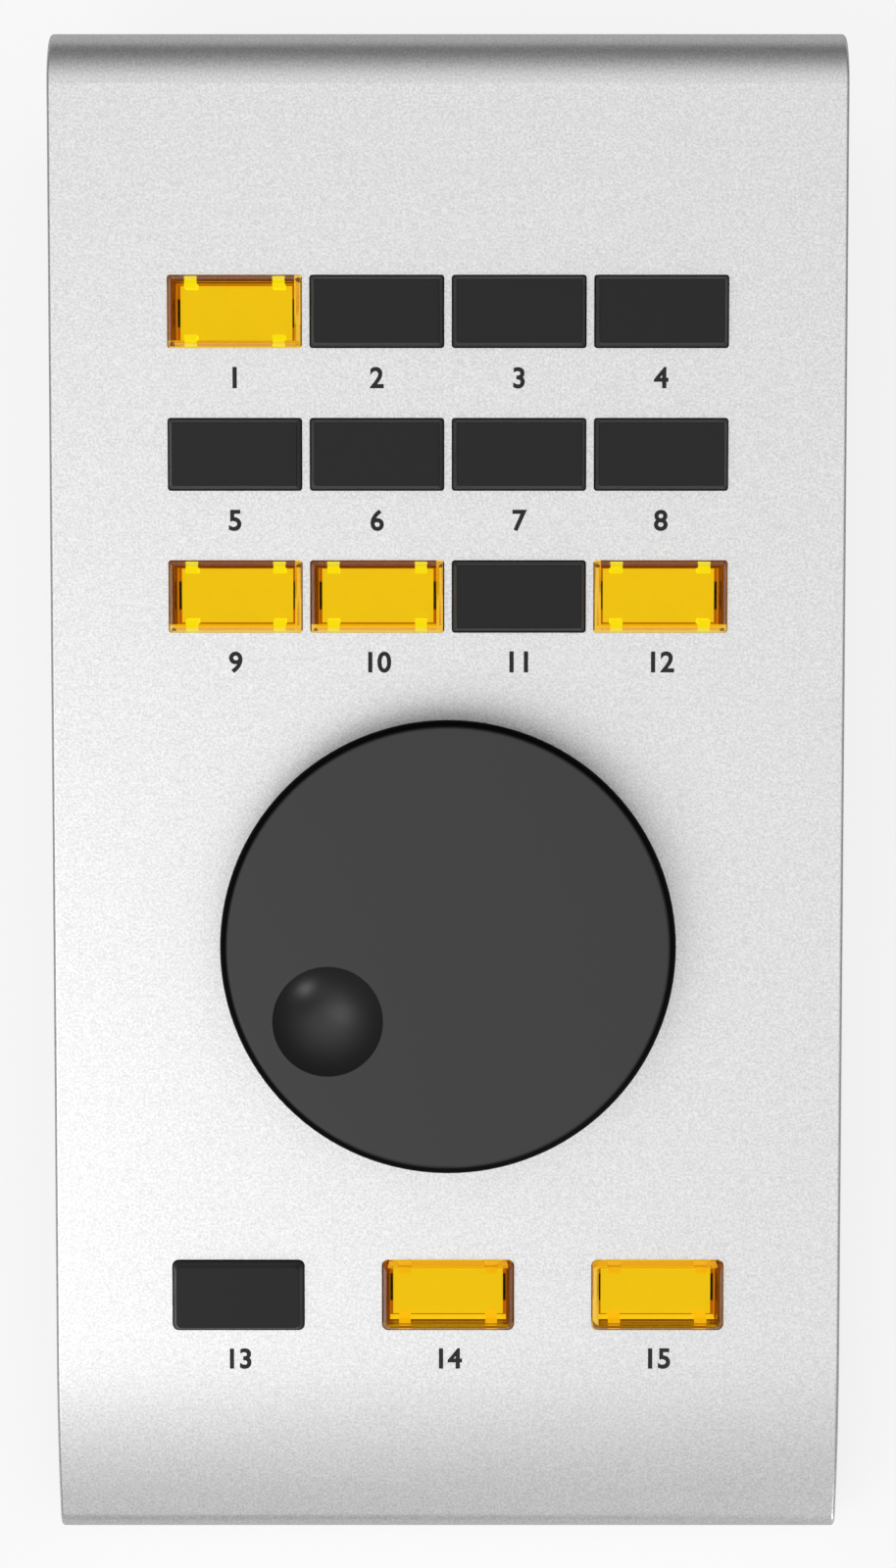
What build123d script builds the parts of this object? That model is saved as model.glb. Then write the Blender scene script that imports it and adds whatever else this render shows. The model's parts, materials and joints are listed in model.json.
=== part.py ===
from build123d import *
import math
import os

# Desktop audio remote: a wedge of bent aluminium with fifteen lit keys and a jog wheel.
# Lengths are in millimetres. X runs to the right, Y to the rear and Z up, and the origin lies
# on the ground under the middle of the part. Pieces on the sloping panel are placed by u, v, w:
# u to the right and v up the slope from the wheel's axis, w out of the panel.

# Key caps
cap_width = 17.7
cap_depth = 9.4
cap_spacing = 1.35
cap_rise = 1.8
cap_upright = 0.2
cap_top_inset = 0.5
cap_wall = 0.8
cap_roof = 0.9
cap_edge_radius = 0.12
upper_corner_radius = 0.25
lower_corner_radius = 0.7
key_clearance = 0.18
key_travel = 1.2
key_columns = 4
key_rows = 3
lower_keys = 3
lower_pitch_share = 1.5

# Light carriers under the caps
stop_clearance = 0.1
stop_overhang = 1.2
flange_thickness = 1.0
light_well_gap = 0.1
light_well_wall = 0.6
light_well_floor = 0.5
light_well_clearance = 0.1
light_pad_side_gap = 0.4
light_pad_front_gap = 0.15
light_pad_height = 0.3
hook_place_share = 0.333
hook_width = 1.6
hook_thickness = 0.7
hook_reach = 0.5
hook_height = 0.8
hook_rise = 0.8
hook_rib_height = 2.4
hook_clearance = 0.08
light_slot_length = 3.8
stem_diameter = 3.0
stem_clearance = 0.08
stem_reach = 2.1
stem_end_clearance = 0.1

# Jog wheel
wheel_diameter = 60.65
wheel_height = 10.7
wheel_gap = 0.8
wheel_foot_inset = 0.6
wheel_top_edge_radius = 1.2
wheel_foot_edge_radius = 0.4
wheel_rim = 3.0
wheel_plate = 2.6
dimple_diameter = 14.7
dimple_depth = 4.0
dimple_edge_margin = 4.275
dimple_angle = 211.4
dimple_shell = 1.6
hub_diameter = 13.0
hub_foot_gap = 0.5
wheel_ribs = 7
wheel_rib_thickness = 1.2
wheel_rib_gap = 0.4
clip_thickness = 0.8
clip_height = 1.1
clip_clearance = 0.03
clip_opening = 2.5

# Encoder under the wheel
shaft_diameter = 6.0
shaft_flat_depth = 1.5
shaft_fit = 0.04
shaft_tail = 5.5
shaft_end_clearance = 0.3
bushing_diameter = 9.0
bushing_hole_clearance = 0.1
bushing_rise_over_nut = 0.8
encoder_width = 13.0
encoder_plate = 1.2
nut_across_flats = 12.0
nut_thickness = 2.0
washer_diameter = 14.5
washer_thickness = 0.6

# Enclosure
panel_slope = 9.5
wall = 2.0
upper_keys_gap = 11.275
lower_keys_gap = 13.925
rear_margin = 38.25
rear_bend_radius = 7.3
nose_gap = 3.05
nose_turn = 18.7
nose_radius = 74.0
nose_straight = 0.2
front_edge_radius = 3.2
side_edge_radius = 0.5
rail_depth = 8.0
rail_height = 6.5
high_rail_drop = 5.6
cheek_thickness = 2.5
cheek_inset = 0.8
cheek_clearance = 0.15
base_thickness = 2.0
base_clearance = 0.2
foot_height = 2.5
foot_diameter = 10.0
foot_edge_radius = 0.8
foot_from_side = 12.0
foot_from_end = 15.0

# Boards
board_thickness = 1.6
board_side_gap = 2.2
board_front_margin = 8.0
board_rear_margin = 11.6
under_board_gap = 6.0
switch_width = 9.0
switch_depth = 8.0
switch_height = 3.8
flange_room = 2.9
led_width = 2.0
led_depth = 1.6
led_height = 0.8
led_gap = 0.8
standoff_diameter = 5.5
standoff_from_edge = 5.0
standoff_from_keys = 2.825
chip_width = 14.0
chip_height = 1.4
chip_from_wheel = 24.0
io_board_end_room = 11.0
io_board_depth = 24.0
io_board_gap = 0.5
header_width = 16.0
header_depth = 6.0
header_height = 5.0
header_from_edge = 10.0
ribbon_width = 13.0
ribbon_thickness = 0.9
ribbon_rise = 5.0
ribbon_bend_share = 0.45

# Sockets in the rear wall
socket_from_middle = 20.0
usb_width = 12.0
usb_height = 11.0
usb_length = 16.2
usb_inset = 0.3
usb_clearance = 0.2
usb_port_width = 8.45
usb_port_height = 7.78
usb_port_corner = 1.6
usb_back = 1.5
tongue_width = 5.6
tongue_height = 3.2
tongue_inset = 1.2
jack_width = 14.0
jack_height = 15.5
jack_length = 20.0
jack_sleeve_diameter = 9.4
jack_sleeve_clearance = 0.1
jack_bore_radius = 3.25
jack_bore_depth = 23.0
jack_stand_out = 2.8
jack_nut_thickness = 2.0
jack_nut_across_flats = 12.5

# Screws
screw_radius = 1.45
tapped_clearance = 0.05
through_clearance = 0.2
sunk_head_radius = 2.8
sunk_head_height = 1.5
pan_head_radius = 2.7
pan_head_height = 1.8
socket_across_flats = 2.0
socket_depth = 1.1
cheek_screw_length = 10.0
base_screw_length = 6.0
base_screws_in_row = 3
base_screw_span_share = 0.72
board_screw_length = 6.0
board_screw_rows = 3
io_screw_length = 5.0
tapped_spare_depth = 1.0

# Cuts run past the faces they open by this much.
overrun = 1.0

# Places worked out from the sizes above
BASE = (Align.CENTER, Align.CENTER, Align.MIN)
HANG = (Align.CENTER, Align.CENTER, Align.MAX)
slope = math.radians(panel_slope)
nose_slope = math.radians(panel_slope + nose_turn)
key_pitch = cap_width + cap_spacing
lower_pitch = key_pitch * lower_pitch_share
keys_half_width = ((key_columns - 1) * key_pitch + cap_width) / 2
standoff_u = keys_half_width + standoff_from_keys + standoff_diameter / 2
board_half_width = standoff_u + standoff_from_edge
cheek_inner_x = board_half_width + board_side_gap
cheek_outer_x = cheek_inner_x + cheek_thickness
body_width = 2 * (cheek_outer_x + cheek_inset)

wheel_radius = wheel_diameter / 2
lower_row_v = -(wheel_radius + lower_keys_gap + cap_depth / 2)
first_row_v = wheel_radius + upper_keys_gap + cap_depth / 2
last_row_v = first_row_v + (key_rows - 1) * key_pitch
board_front_v = lower_row_v - board_front_margin
board_rear_v = last_row_v + board_rear_margin

flange_drop = wall + stop_clearance
switch_top = flange_drop + flange_thickness + key_travel + flange_room
board_top = switch_top + switch_height
board_under = board_top + board_thickness

base_top = foot_height + base_thickness
nose_reach = nose_radius * math.tan(math.radians(nose_turn / 2))
front_edge_reach = front_edge_radius * math.tan(math.pi / 4 - nose_slope / 2)
nose_from_front = (nose_reach + nose_straight + front_edge_reach) * math.cos(nose_slope)
front_margin = (cap_depth / 2 + nose_gap + nose_reach) * math.cos(slope) + nose_from_front
body_length = front_margin + (last_row_v - lower_row_v) * math.cos(slope) + rear_margin
front_y = -(body_length + jack_stand_out) / 2
rear_y = front_y + body_length
wheel_y = front_y + front_margin - lower_row_v * math.cos(slope)
wheel_z = (base_top + under_board_gap + board_under * math.cos(slope)
           - board_front_v * math.sin(slope))
panel = Plane(origin=(0, wheel_y, wheel_z), x_dir=(1, 0, 0),
              z_dir=(0, -math.sin(slope), math.cos(slope))).location

rail_top = base_top + rail_height
io_board_under = rail_top + io_board_gap
io_board_top = io_board_under + board_thickness
io_board_rear = rear_y - wall - io_board_gap
io_board_front = io_board_rear - io_board_depth
io_board_width = 2 * (socket_from_middle + max(usb_width, jack_width) / 2 + io_board_end_room)
usb_x, jack_x = -socket_from_middle, socket_from_middle
jack_z = io_board_top + jack_height / 2

nut_top = washer_thickness + nut_thickness
bushing_top = nut_top + bushing_rise_over_nut
hub_foot = bushing_top + hub_foot_gap
wheel_top = wheel_gap + wheel_height
plate_under = wheel_top - wheel_plate
clip_inner_radius = hub_diameter / 2 + clip_clearance
tapped_radius = screw_radius + tapped_clearance
through_radius = screw_radius + through_clearance
standoff_height = board_top - wall


def panel_height(y, inset=0):
    """Height of the panel's line over a place along the length, drawn in by inset."""
    return wheel_z + (y - wheel_y) * math.tan(slope) - inset / math.cos(slope)


def nose_height(y, inset=0):
    """Height of the drooping nose's line in front of the panel, drawn in by inset."""
    nose_y = front_y + nose_from_front
    return panel_height(nose_y) + (y - nose_y) * math.tan(nose_slope) - inset / math.cos(nose_slope)


def side_outline(inset, foot):
    """Closed side outline of the wedge, drawn in by inset and cut flat at the height foot."""
    front, rear = front_y + inset, rear_y - inset
    nose_fall = panel_height(0, inset) - nose_height(0, inset)
    nose_y = nose_fall / (math.tan(nose_slope) - math.tan(slope))
    corners = [(front, foot), (front, nose_height(front, inset)), (nose_y, panel_height(nose_y, inset)),
               (rear, panel_height(rear, inset)), (rear, foot)]
    radii = [0, front_edge_radius - inset, nose_radius - inset, rear_bend_radius - inset, 0]
    return make_face(FilletPolyline(*corners, radius=radii, close=True))


def side_prism(inset, foot, half_width):
    """The side outline carried across the part's width."""
    return extrude(Plane.YZ * side_outline(inset, foot), amount=half_width, both=True)


def sunk_hole(depth):
    """Cutter for a countersunk screw, its mouth at zero and its shank pointing down."""
    mouth = Pos(0, 0, -sunk_head_height) * Cone(through_radius, sunk_head_radius + through_clearance,
                                                sunk_head_height, align=BASE)
    return mouth + Cylinder(through_radius, depth, align=HANG)


def hex_socket():
    """Cutter for the driver's socket in a screw head at zero."""
    return extrude(RegularPolygon(socket_across_flats / 2, 6, major_radius=False), amount=-socket_depth)


def sunk_screw(length):
    """Countersunk socket screw with its head flush at zero and its shank pointing down."""
    head = Pos(0, 0, -sunk_head_height) * Cone(screw_radius, sunk_head_radius, sunk_head_height, align=BASE)
    return head + Cylinder(screw_radius, length, align=HANG) - hex_socket()


def pan_screw(length):
    """Pan head socket screw, its head standing on zero and its shank pointing down."""
    head = Cylinder(pan_head_radius, pan_head_height, align=BASE)
    head = fillet(head.edges().group_by(Axis.Z)[-1], pan_head_height / 3)
    return head + Cylinder(screw_radius, length, align=HANG) - Pos(0, 0, pan_head_height) * hex_socket()


def tapped_hole(length):
    """Cutter for a tapped hole that takes a screw reaching in by length."""
    return Cylinder(tapped_radius, length + tapped_spare_depth, align=HANG)


def rail_places():
    """Centres, along the length and in height, of the three rails that take the cheek screws."""
    middle = wall + rail_depth / 2
    low = base_top + rail_height / 2
    high = panel_height(rear_y - wall, wall) - high_rail_drop
    return [(front_y + middle, low), (rear_y - middle, low), (rear_y - middle, high)]


def cheek_screw_places():
    """One place for each cheek screw, with local Z pointing out of the cheek."""
    return [Location((side * cheek_outer_x, y, z), (0, side * 90, 0))
            for side in (-1, 1) for y, z in rail_places()]


def base_screw_places():
    """One place for each base screw, with local Z pointing down out of the base."""
    half = cheek_inner_x * base_screw_span_share
    across = [half * (2 * i / (base_screws_in_row - 1) - 1) for i in range(base_screws_in_row)]
    return [Location((x, y, foot_height), (180, 0, 0))
            for y, _ in rail_places()[:2] for x in across]


def standoff_places():
    """u and v of the pillars that hang the main board under the panel."""
    first, last = board_front_v + standoff_from_edge, board_rear_v - standoff_from_edge
    along = [first + (last - first) * i / (board_screw_rows - 1) for i in range(board_screw_rows)]
    return [(side * standoff_u, v) for side in (-1, 1) for v in along]


def io_standoff_places():
    """X and Y of the two pillars that carry the socket board on the base."""
    x = io_board_width / 2 - standoff_from_edge
    return [(side * x, io_board_front + standoff_from_edge) for side in (-1, 1)]


def upper_key_places():
    """u and v of the twelve upper keys, row by row from the rear."""
    return [((i - (key_columns - 1) / 2) * key_pitch, last_row_v - j * key_pitch)
            for j in range(key_rows) for i in range(key_columns)]


def lower_key_places():
    """u and v of the keys in front of the wheel."""
    return [((i - (lower_keys - 1) / 2) * lower_pitch, lower_row_v) for i in range(lower_keys)]


def key_places():
    """u, v and cap corner radius of every key in the order of its number."""
    return ([(u, v, upper_corner_radius) for u, v in upper_key_places()]
            + [(u, v, lower_corner_radius) for u, v in lower_key_places()])


def top_shell():
    """Bent aluminium top with its front and rear walls, inner rails and openings."""
    outer = side_prism(0, foot_height, body_width / 2)
    ends = outer.faces().sort_by(Axis.X)
    rims = [edge for face in (ends[0], ends[-1]) for edge in face.edges()
            if edge.center().Z > foot_height + overrun]
    shell = fillet(rims, side_edge_radius)
    shell -= side_prism(wall, foot_height - overrun, body_width / 2 + overrun)

    within = side_prism(wall / 2, base_top, cheek_inner_x)
    front_rail, rear_rail, high_rail = rail_places()
    for (y, z), height in ((front_rail, rail_height), (rear_rail, rail_height),
                           (high_rail, rail_height + high_rail_drop)):
        rail = Box(body_width, rail_depth + 2 * wall, height, align=BASE)
        shell += Pos(0, y + math.copysign(wall, y), z - rail_height / 2) * rail & within
    for place in cheek_screw_places():
        shell -= place * Pos(0, 0, -cheek_thickness) * tapped_hole(cheek_screw_length - cheek_thickness)
    for place in base_screw_places():
        shell -= place * Pos(0, 0, -base_thickness) * tapped_hole(base_screw_length - base_thickness)

    for u, v, corner in key_places():
        opening = RectangleRounded(cap_width + 2 * key_clearance, cap_depth + 2 * key_clearance,
                                   corner + key_clearance)
        shell -= panel * Pos(u, v, -wall - overrun) * extrude(opening, amount=wall + 2 * overrun)
    shaft_hole = Cylinder(bushing_diameter / 2 + bushing_hole_clearance, 2 * (wall + overrun))
    shell -= panel * shaft_hole
    usb_hole = Box(usb_width + 2 * usb_clearance, 2 * (wall + overrun), usb_height + 2 * usb_clearance)
    shell -= Pos(usb_x, rear_y, io_board_top + usb_height / 2) * usb_hole
    jack_hole = Cylinder(jack_sleeve_diameter / 2 + jack_sleeve_clearance, 2 * (wall + overrun))
    shell -= Location((jack_x, rear_y, jack_z), (90, 0, 0)) * jack_hole
    return shell


def cheek(side):
    """Flat end cheek that closes one side of the wedge, with three countersunk holes."""
    plate = extrude(Plane.YZ * side_outline(wall + cheek_clearance, foot_height), amount=cheek_thickness)
    low_x = cheek_inner_x if side > 0 else -cheek_outer_x
    plate = Pos(low_x, 0, 0) * plate
    for place in cheek_screw_places():
        if place.position.X * side > 0:
            plate -= place * sunk_hole(cheek_thickness + overrun)
    return plate


def base_plate():
    """Steel sheet under the rails, countersunk for its screws."""
    length = body_length - 2 * (wall + base_clearance)
    width = 2 * (cheek_inner_x - base_clearance)
    plate = Pos(0, (front_y + rear_y) / 2, foot_height) * Box(width, length, base_thickness, align=BASE)
    for place in base_screw_places():
        plate -= place * sunk_hole(base_thickness + overrun)
    return plate


def rubber_feet():
    """Four round pads under the corners of the base."""
    pad = Cylinder(foot_diameter / 2, foot_height, align=BASE)
    pad = fillet(pad.edges().group_by(Axis.Z)[0], foot_edge_radius)
    x = body_width / 2 - foot_from_side
    return [Pos(side * x, y, 0) * pad for side in (-1, 1)
            for y in (front_y + foot_from_end, rear_y - foot_from_end)]


def key_cap(corner):
    """Clear cap, drafted above the panel and hollow below, with a window for each hook."""
    foot = RectangleRounded(cap_width, cap_depth, corner)
    head = RectangleRounded(cap_width - 2 * cap_top_inset, cap_depth - 2 * cap_top_inset, corner)
    skirt = extrude(Pos(0, 0, -flange_drop) * foot, amount=flange_drop + cap_upright)
    crown = loft([Pos(0, 0, cap_upright) * foot, Pos(0, 0, cap_rise) * head], ruled=True)
    cap = skirt + crown
    cap = fillet(cap.faces().sort_by(Axis.Z)[-1].edges(), cap_edge_radius)
    hollow = Box(cap_width - 2 * cap_wall, cap_depth - 2 * cap_wall,
                 flange_drop + cap_rise - cap_roof + overrun, align=BASE)
    cap -= Pos(0, 0, -flange_drop - overrun) * hollow
    window = Box(hook_width + 2 * hook_clearance, cap_depth + 2 * overrun,
                 hook_height + 2 * hook_clearance, align=BASE)
    for side in (-1, 1):
        u = side * cap_width * hook_place_share
        cap -= Pos(u, 0, hook_rise - flange_drop - hook_clearance) * window
    return cap


def key_carrier():
    """Light carrier under a cap: stop flange, light well with a raised pad, four snap hooks and the stem."""
    well_width = cap_width - 2 * (cap_wall + light_well_gap)
    well_depth = cap_depth - 2 * (cap_wall + light_well_gap)
    well_foot = switch_top - key_travel - light_well_clearance
    floor_top = well_foot - light_well_floor
    flange = Pos(0, 0, -flange_drop)
    carrier = flange * Box(cap_width, cap_depth + 2 * stop_overhang, flange_thickness, align=HANG)
    carrier += flange * Box(well_width + 2 * light_well_wall, well_depth + 2 * light_well_wall,
                            well_foot - flange_drop, align=HANG)
    on_floor = Pos(0, 0, -floor_top)
    carrier -= on_floor * Box(well_width, well_depth, floor_top, align=BASE)
    pad_width = well_width - 2 * light_pad_side_gap
    carrier += on_floor * Box(pad_width, well_depth - 2 * light_pad_front_gap, light_pad_height, align=BASE)

    rib_height = floor_top - flange_drop + hook_rib_height
    rib_v = (well_depth - hook_thickness) / 2
    for side, end in ((-1, -1), (-1, 1), (1, -1), (1, 1)):
        place = Pos(side * cap_width * hook_place_share, end * rib_v, 0)
        carrier += place * on_floor * Box(hook_width, hook_thickness, rib_height, align=BASE)
        nose = Box(hook_width, hook_thickness, hook_height, align=BASE)
        carrier += place * flange * Pos(0, end * hook_reach, hook_rise) * nose
    slot = Box(light_pad_side_gap, light_slot_length, light_well_floor + 2 * overrun)
    for side in (-1, 1):
        carrier -= Pos(side * (pad_width + light_pad_side_gap) / 2, 0, -floor_top) * slot
    stem_top = well_foot - light_well_floor / 2
    stem = Cylinder(stem_diameter / 2, switch_top + stem_reach - stem_top, align=HANG)
    return carrier + Pos(0, 0, -stem_top) * stem


def key_switches():
    """One switch housing for each key, with a round well for its stem."""
    body = Pos(0, 0, -board_top) * Box(switch_width, switch_depth, switch_height, align=BASE)
    well_depth = stem_reach + key_travel + stem_end_clearance
    well = Cylinder(stem_diameter / 2 + stem_clearance, well_depth + overrun, align=HANG)
    body -= Pos(0, 0, overrun - switch_top) * well
    return [panel * Pos(u, v, 0) * body for u, v, _ in key_places()]


def leds():
    """Two lamps beside each switch."""
    lamp = Pos(0, 0, -board_top) * Box(led_width, led_depth, led_height, align=BASE)
    u_offset = switch_width / 2 + led_gap + led_width / 2
    return [panel * Pos(u + side * u_offset, v, 0) * lamp
            for u, v, _ in key_places() for side in (-1, 1)]


def flat_sided_rod(radius, flat_from_axis, height):
    """Round rod with one flat side, standing on zero."""
    rod = Cylinder(radius, height, align=BASE)
    return rod - Pos(0, flat_from_axis + radius, height / 2) * Box(4 * radius, 2 * radius, 2 * height)


def wheel():
    """Hollow jog wheel with a hub, ribs and a round finger dimple."""
    foot_radius = wheel_radius - wheel_foot_inset
    disc = Pos(0, 0, wheel_gap) * Cone(foot_radius, wheel_radius, wheel_height, align=BASE)
    disc = fillet(disc.edges().group_by(Axis.Z)[-1], wheel_top_edge_radius)
    disc = fillet(disc.edges().group_by(Axis.Z)[0], wheel_foot_edge_radius)
    disc -= Cylinder(wheel_radius - wheel_rim, plate_under, align=BASE)
    hub_height = wheel_top - wheel_plate / 2 - hub_foot
    disc += Pos(0, 0, hub_foot) * Cylinder(hub_diameter / 2, hub_height, align=BASE)

    rib_foot = hub_foot + clip_height + wheel_rib_gap
    rib_reach = wheel_radius - wheel_rim / 2
    rib = Pos(rib_reach / 2, 0, rib_foot) * Box(rib_reach, wheel_rib_thickness,
                                                wheel_top - wheel_plate / 2 - rib_foot, align=BASE)
    for i in range(wheel_ribs):
        disc += Rot(0, 0, dimple_angle + 360 * i / wheel_ribs) * rib

    from_axis = wheel_radius - dimple_edge_margin - dimple_diameter / 2
    dimple = Rot(0, 0, dimple_angle) * Pos(from_axis, 0, 0)
    ball_radius = (dimple_diameter ** 2 / 4 + dimple_depth ** 2) / (2 * dimple_depth)
    cup_foot = wheel_top - dimple_depth - dimple_shell
    cup = Cylinder(dimple_diameter / 2 + dimple_shell, wheel_top - wheel_plate / 2 - cup_foot, align=BASE)
    disc += dimple * Pos(0, 0, cup_foot) * cup
    clip_room = clip_inner_radius + clip_thickness + wheel_rib_gap
    disc -= Cylinder(clip_room, rib_foot, align=BASE) - Cylinder(hub_diameter / 2, rib_foot, align=BASE)
    disc -= dimple * Pos(0, 0, wheel_top - dimple_depth + ball_radius) * Sphere(ball_radius)

    bore = flat_sided_rod(shaft_diameter / 2 + shaft_fit, shaft_diameter / 2 - shaft_flat_depth + shaft_fit,
                          plate_under - hub_foot + shaft_end_clearance + overrun)
    return panel * (disc - Pos(0, 0, hub_foot - overrun) * bore)


def wheel_clip():
    """Open spring ring that grips the foot of the wheel's hub."""
    ring = Cylinder(clip_inner_radius + clip_thickness, clip_height, align=BASE)
    ring -= Cylinder(clip_inner_radius, clip_height, align=BASE)
    gap = Pos(0, clip_inner_radius, 0) * Box(clip_opening, clip_inner_radius, clip_height, align=BASE)
    return panel * Pos(0, 0, hub_foot) * (ring - gap)


def encoder_shaft():
    """Encoder shaft, round in its bushing and flat sided in the wheel's hub."""
    foot = -(wall + encoder_plate + shaft_tail)
    shaft = Pos(0, 0, foot) * Cylinder(shaft_diameter / 2, hub_foot - foot, align=BASE)
    top = flat_sided_rod(shaft_diameter / 2, shaft_diameter / 2 - shaft_flat_depth, plate_under - hub_foot)
    return panel * (shaft + Pos(0, 0, hub_foot) * top)


def encoder_bushing():
    """Threaded sleeve and mounting plate that hold the encoder to the panel."""
    plate = Pos(0, 0, -wall) * Box(encoder_width, encoder_width, encoder_plate, align=HANG)
    sleeve = Cylinder(bushing_diameter / 2, bushing_top + wall + encoder_plate / 2, align=HANG)
    bore = Cylinder(shaft_diameter / 2 + shaft_fit, 2 * (bushing_top + wall + encoder_plate))
    return panel * (plate + Pos(0, 0, bushing_top) * sleeve - bore)


def encoder_body():
    """Encoder case between its mounting plate and the main board."""
    top = -(wall + encoder_plate)
    case = Pos(0, 0, top) * Box(encoder_width, encoder_width, board_top + top, align=HANG)
    well = Cylinder(shaft_diameter / 2 + shaft_fit, shaft_tail + shaft_end_clearance, align=HANG)
    return panel * (case - Pos(0, 0, top) * well)


def hex_nut(across_flats, bore_radius, thickness):
    """Hexagon nut standing on zero."""
    blank = extrude(RegularPolygon(across_flats / 2, 6, major_radius=False), amount=thickness)
    return blank - Cylinder(bore_radius, thickness, align=BASE)


def encoder_nut():
    """Nut that clamps the encoder's bushing to the panel."""
    bore = bushing_diameter / 2 + tapped_clearance
    return panel * Pos(0, 0, washer_thickness) * hex_nut(nut_across_flats, bore, nut_thickness)


def encoder_washer():
    """Washer between the encoder nut and the panel."""
    ring = Cylinder(washer_diameter / 2, washer_thickness, align=BASE)
    bore = Cylinder(bushing_diameter / 2 + bushing_hole_clearance, washer_thickness, align=BASE)
    return panel * (ring - bore)


def main_board():
    """Board that carries the switches, lamps and encoder, parallel to the panel."""
    length = board_rear_v - board_front_v
    board = Pos(0, (board_rear_v + board_front_v) / 2, -board_top) * Box(
        2 * board_half_width, length, board_thickness, align=HANG)
    for u, v in standoff_places():
        board -= Pos(u, v, -board_top) * Cylinder(through_radius, 2 * (board_thickness + overrun))
    return panel * board


def standoffs():
    """Pillars pressed into the panel's underside that carry the main board."""
    pillar = Pos(0, 0, -board_top) * Cylinder(standoff_diameter / 2, standoff_height, align=BASE)
    pillar -= Pos(0, 0, -board_top) * Rot(180, 0, 0) * tapped_hole(board_screw_length - board_thickness)
    return [panel * Pos(u, v, 0) * pillar for u, v in standoff_places()]


def board_screws():
    """Screws that hold the main board up against its pillars."""
    screw = Pos(0, 0, -board_under) * Rot(180, 0, 0) * pan_screw(board_screw_length)
    return [panel * Pos(u, v, 0) * screw for u, v in standoff_places()]


def microcontroller():
    """Square control chip on the underside of the main board."""
    chip = Box(chip_width, chip_width, chip_height, align=HANG)
    return panel * Pos(0, chip_from_wheel, -board_under) * chip


def io_board():
    """Level board inside the rear wall that carries the two sockets."""
    board = Pos(0, (io_board_front + io_board_rear) / 2, io_board_under) * Box(
        io_board_width, io_board_depth, board_thickness, align=BASE)
    for x, y in io_standoff_places():
        board -= Pos(x, y, io_board_under) * Cylinder(through_radius, 2 * (board_thickness + overrun))
    return board


def io_standoffs():
    """Pillars on the base under the socket board."""
    pillar = Cylinder(standoff_diameter / 2, io_board_under - base_top, align=HANG)
    pillar -= tapped_hole(io_screw_length - board_thickness)
    return [Pos(x, y, io_board_under) * pillar for x, y in io_standoff_places()]


def io_screws():
    """Screws that hold the socket board down on its pillars."""
    return [Pos(x, y, io_board_top) * pan_screw(io_screw_length) for x, y in io_standoff_places()]


def header_ends():
    """Ribbon's two ends in Y and Z: the socket board's header, then the main board's header."""
    low = Vector(io_board_rear - header_from_edge, io_board_top + header_height)
    v, w = board_rear_v - header_from_edge, -board_under - header_height
    high = Vector(wheel_y + v * math.cos(slope) - w * math.sin(slope),
                  wheel_z + v * math.sin(slope) + w * math.cos(slope))
    return low, high


def board_connectors():
    """Headers for the ribbon, one on each board."""
    low, _ = header_ends()
    header = Box(header_width, header_depth, header_height, align=HANG)
    return [Pos(0, low.X, low.Y) * header,
            panel * Pos(0, board_rear_v - header_from_edge, -board_under) * header]


def ribbon_cable():
    """Flat ribbon that joins the two boards, standing square on both headers."""
    low, high = header_ends()
    below = high + Vector(math.sin(slope), -math.cos(slope)) * ribbon_rise
    above = low + Vector(0, ribbon_rise)
    route = [low, above, below, high]
    radii = []
    for before, corner, after in zip(route, route[1:], route[2:]):
        half_turn = math.radians((corner - before).get_angle(after - corner) / 2)
        shorter = min((corner - before).length, (after - corner).length)
        radii.append(ribbon_bend_share * shorter / math.tan(half_turn))
    band = trace(FilletPolyline(*route, radius=radii), line_width=ribbon_thickness)
    return extrude(Plane.YZ * band, amount=ribbon_width / 2, both=True)


def usb_mouth():
    """Place of the data socket: the middle of its mouth's lower edge."""
    return Pos(usb_x, rear_y - usb_inset, io_board_top)


def usb_socket():
    """Metal can of the data socket, with the two upper corners of its port cut off."""
    can = Pos(0, -usb_length / 2, 0) * Box(usb_width, usb_length, usb_height, align=BASE)
    half, tall, cut = usb_port_width / 2, usb_port_height, usb_port_corner
    outline = Polyline((-half, 0), (half, 0), (half, tall - cut), (half - cut, tall),
                       (cut - half, tall), (-half, tall - cut), close=True)
    port_depth = usb_length - usb_back
    port = Plane.XZ * Pos(0, (usb_height - tall) / 2, 0) * make_face(outline)
    can -= Pos(0, overrun, 0) * extrude(port, amount=port_depth + overrun)
    return usb_mouth() * can


def usb_tongue():
    """Contact tongue inside the data socket."""
    length = usb_length - usb_back - tongue_inset
    tongue = Box(tongue_width, length, tongue_height)
    return usb_mouth() * Pos(0, -tongue_inset - length / 2, usb_height / 2) * tongue


def footswitch_jack():
    """Footswitch jack with its case on the socket board and its sleeve through the rear wall."""
    case = Pos(jack_x, rear_y - wall - jack_length / 2, jack_z) * Box(jack_width, jack_length, jack_height)
    mouth = Location((jack_x, rear_y + jack_stand_out, jack_z), (-90, 0, 0))
    sleeve = Cylinder(jack_sleeve_diameter / 2, jack_stand_out + wall + jack_length / 2, align=HANG)
    bore = Pos(0, 0, overrun) * Cylinder(jack_bore_radius, jack_bore_depth + overrun, align=HANG)
    return case + mouth * sleeve - mouth * bore


def jack_nut():
    """Nut on the jack's sleeve, against the outside of the rear wall."""
    nut = hex_nut(jack_nut_across_flats, jack_sleeve_diameter / 2 + tapped_clearance, jack_nut_thickness)
    return Location((jack_x, rear_y, jack_z), (-90, 0, 0)) * nut


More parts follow.
